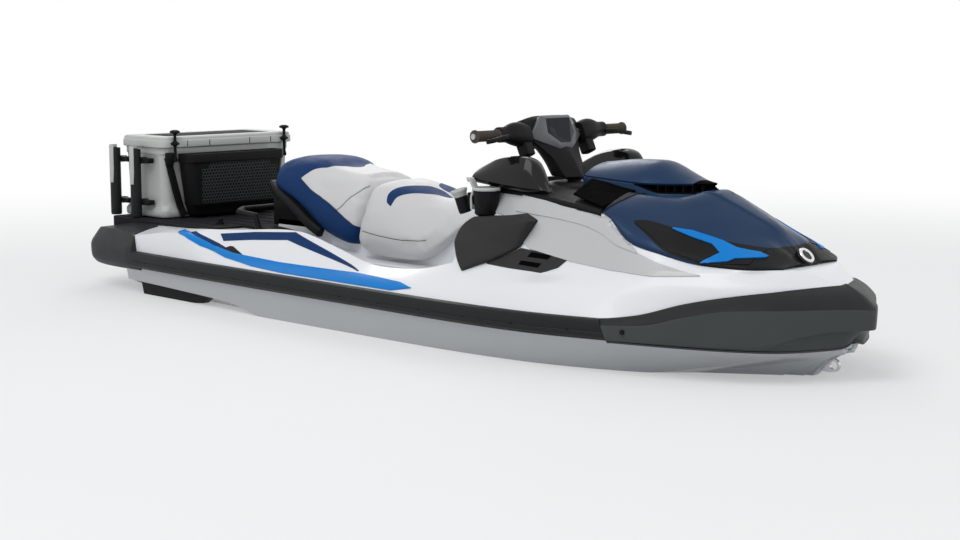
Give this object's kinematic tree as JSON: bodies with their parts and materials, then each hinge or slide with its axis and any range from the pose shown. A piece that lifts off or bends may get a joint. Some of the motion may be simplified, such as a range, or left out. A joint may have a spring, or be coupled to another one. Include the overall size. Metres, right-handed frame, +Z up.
{
  "type": "personal watercraft",
  "caption": "Three-seat personal watercraft with deep-V hull, hinged front hood, steerable jet, cooler box on a long rear platform, rod holders and a fold-down boarding step",
  "frame": {"origin": "on the centreline, at mid-length, at the waterline", "axes": "+X to the bow, +Y to port, +Z up"},
  "size_m": [3.727, 1.2568, 1.1202],
  "materials": {
    "hull_grey": "gloss gelcoat",
    "deck_white": "gloss gelcoat",
    "rail_charcoal": "moulded, satin",
    "light_blue": "gloss",
    "mat_grey": "embossed traction foam",
    "mat_black": "embossed traction foam",
    "panel_grey": "satin gloss",
    "knee_charcoal": "embossed pad",
    "black_plastic": "moulded, fine grain",
    "black_gloss": "gloss",
    "seat_vinyl": "marine vinyl",
    "cooler_grey": "rotomoulded grain",
    "basket_black": "moulded net",
    "strap_webbing": "woven webbing",
    "steel": "brushed",
    "aluminium": "cast, painted",
    "engine_grey": "cast",
    "grip_rubber": "moulded rubber",
    "hood_navy": "metallic gloss",
    "badge_silver": "polished",
    "latch_rubber": "moulded rubber"
  },
  "bodies": {
    "craft": {"hull": "hull_grey", "deck": "deck_white", "rub_rails": "rail_charcoal", "front_bumper": "rail_charcoal", "rear_bumper": "rail_charcoal", "gunwale_trims": "light_blue", "footwell_mats": "mat_grey", "platform_mat": "mat_black", "side_panels": "panel_grey", "knee_pads": "knee_charcoal", "deck_vents": "black_plastic", "console": "black_gloss", "mirrors": "black_gloss", "driver_seat": "seat_vinyl", "passenger_seat": "seat_vinyl", "rear_grab_handle": "black_plastic", "steering_base": "black_plastic", "cup_holder": "black_plastic", "front_rod_holder": "black_plastic", "cooler_body": "cooler_grey", "cooler_basket": "basket_black", "cooler_strap": "strap_webbing", "rod_tubes": "black_plastic", "rod_tube_brackets": "black_plastic", "accessory_anchors": "black_plastic", "bow_eye": "steel", "stern_eyes": "steel", "tow_hook": "steel", "pump_housing": "aluminium", "ride_plate": "aluminium", "intake_grate": "aluminium", "sponsons": "black_plastic", "engine": "engine_grey"},
    "steering": {"steering_column": "black_plastic", "handlebar": "aluminium", "handlebar_grips": "grip_rubber", "switch_housings": "black_plastic", "control_levers": "black_plastic", "gauge_cover": "black_plastic"},
    "front_hood": {"hood": "hood_navy", "hood_side_trims": "black_gloss", "hood_accents": "light_blue", "hood_vents": "black_plastic", "hood_badge": "badge_silver"},
    "glove_lid": {"glove_box_lid": "black_plastic"},
    "cooler_cover": {"cooler_lid": "cooler_grey", "cooler_latches": "latch_rubber"},
    "impeller_body": {"impeller": "steel"},
    "nozzle": {"steering_nozzle": "aluminium"},
    "reverse": {"reverse_bucket": "black_plastic"},
    "step": {"boarding_step": "steel"}
  },
  "joints": [
    {"name": "steering_turn", "type": "hinge", "parent": "craft", "child": "steering", "pos_m": [0.59, 0, 0.56], "axis": [-0.4305, 0, 0.9026], "range_deg": [-22, 22]},
    {"name": "nozzle_turn", "type": "hinge", "parent": "craft", "child": "nozzle", "pos_m": [-1.5, 0, -0.168], "axis": [0, 0, 1], "range_deg": [-19, 19]},
    {"name": "reverse_tip", "type": "hinge", "parent": "craft", "child": "reverse", "pos_m": [-1.5, 0, -0.168], "axis": [0, -1, 0], "range_deg": [0, 65]},
    {"name": "impeller_spin", "type": "hinge", "parent": "craft", "child": "impeller_body", "pos_m": [-1.3, 0, -0.168], "axis": [1, 0, 0], "continuous": true},
    {"name": "hood_lift", "type": "hinge", "parent": "craft", "child": "front_hood", "pos_m": [1.628, 0, 0.366], "axis": [0, 1, 0], "range_deg": [0, 50]},
    {"name": "glove_lid_lift", "type": "hinge", "parent": "craft", "child": "glove_lid", "pos_m": [0.304, 0, 0.5306], "axis": [0, -1, 0], "range_deg": [0, 100]},
    {"name": "cooler_lid_lift", "type": "hinge", "parent": "craft", "child": "cooler_cover", "pos_m": [-1.83, 0, 0.6079], "axis": [0, -1, 0], "range_deg": [0, 95]},
    {"name": "step_fold", "type": "hinge", "parent": "craft", "child": "step", "pos_m": [-1.828, 0, 0.088], "axis": [0, 1, 0], "range_deg": [0, 90], "stiffness_Nm_per_rad": 8, "springref_deg": -68.75}
  ],
  "couplings": [
    {"joint": "nozzle_turn", "follows": "steering_turn", "ratio": -0.85}
  ]
}
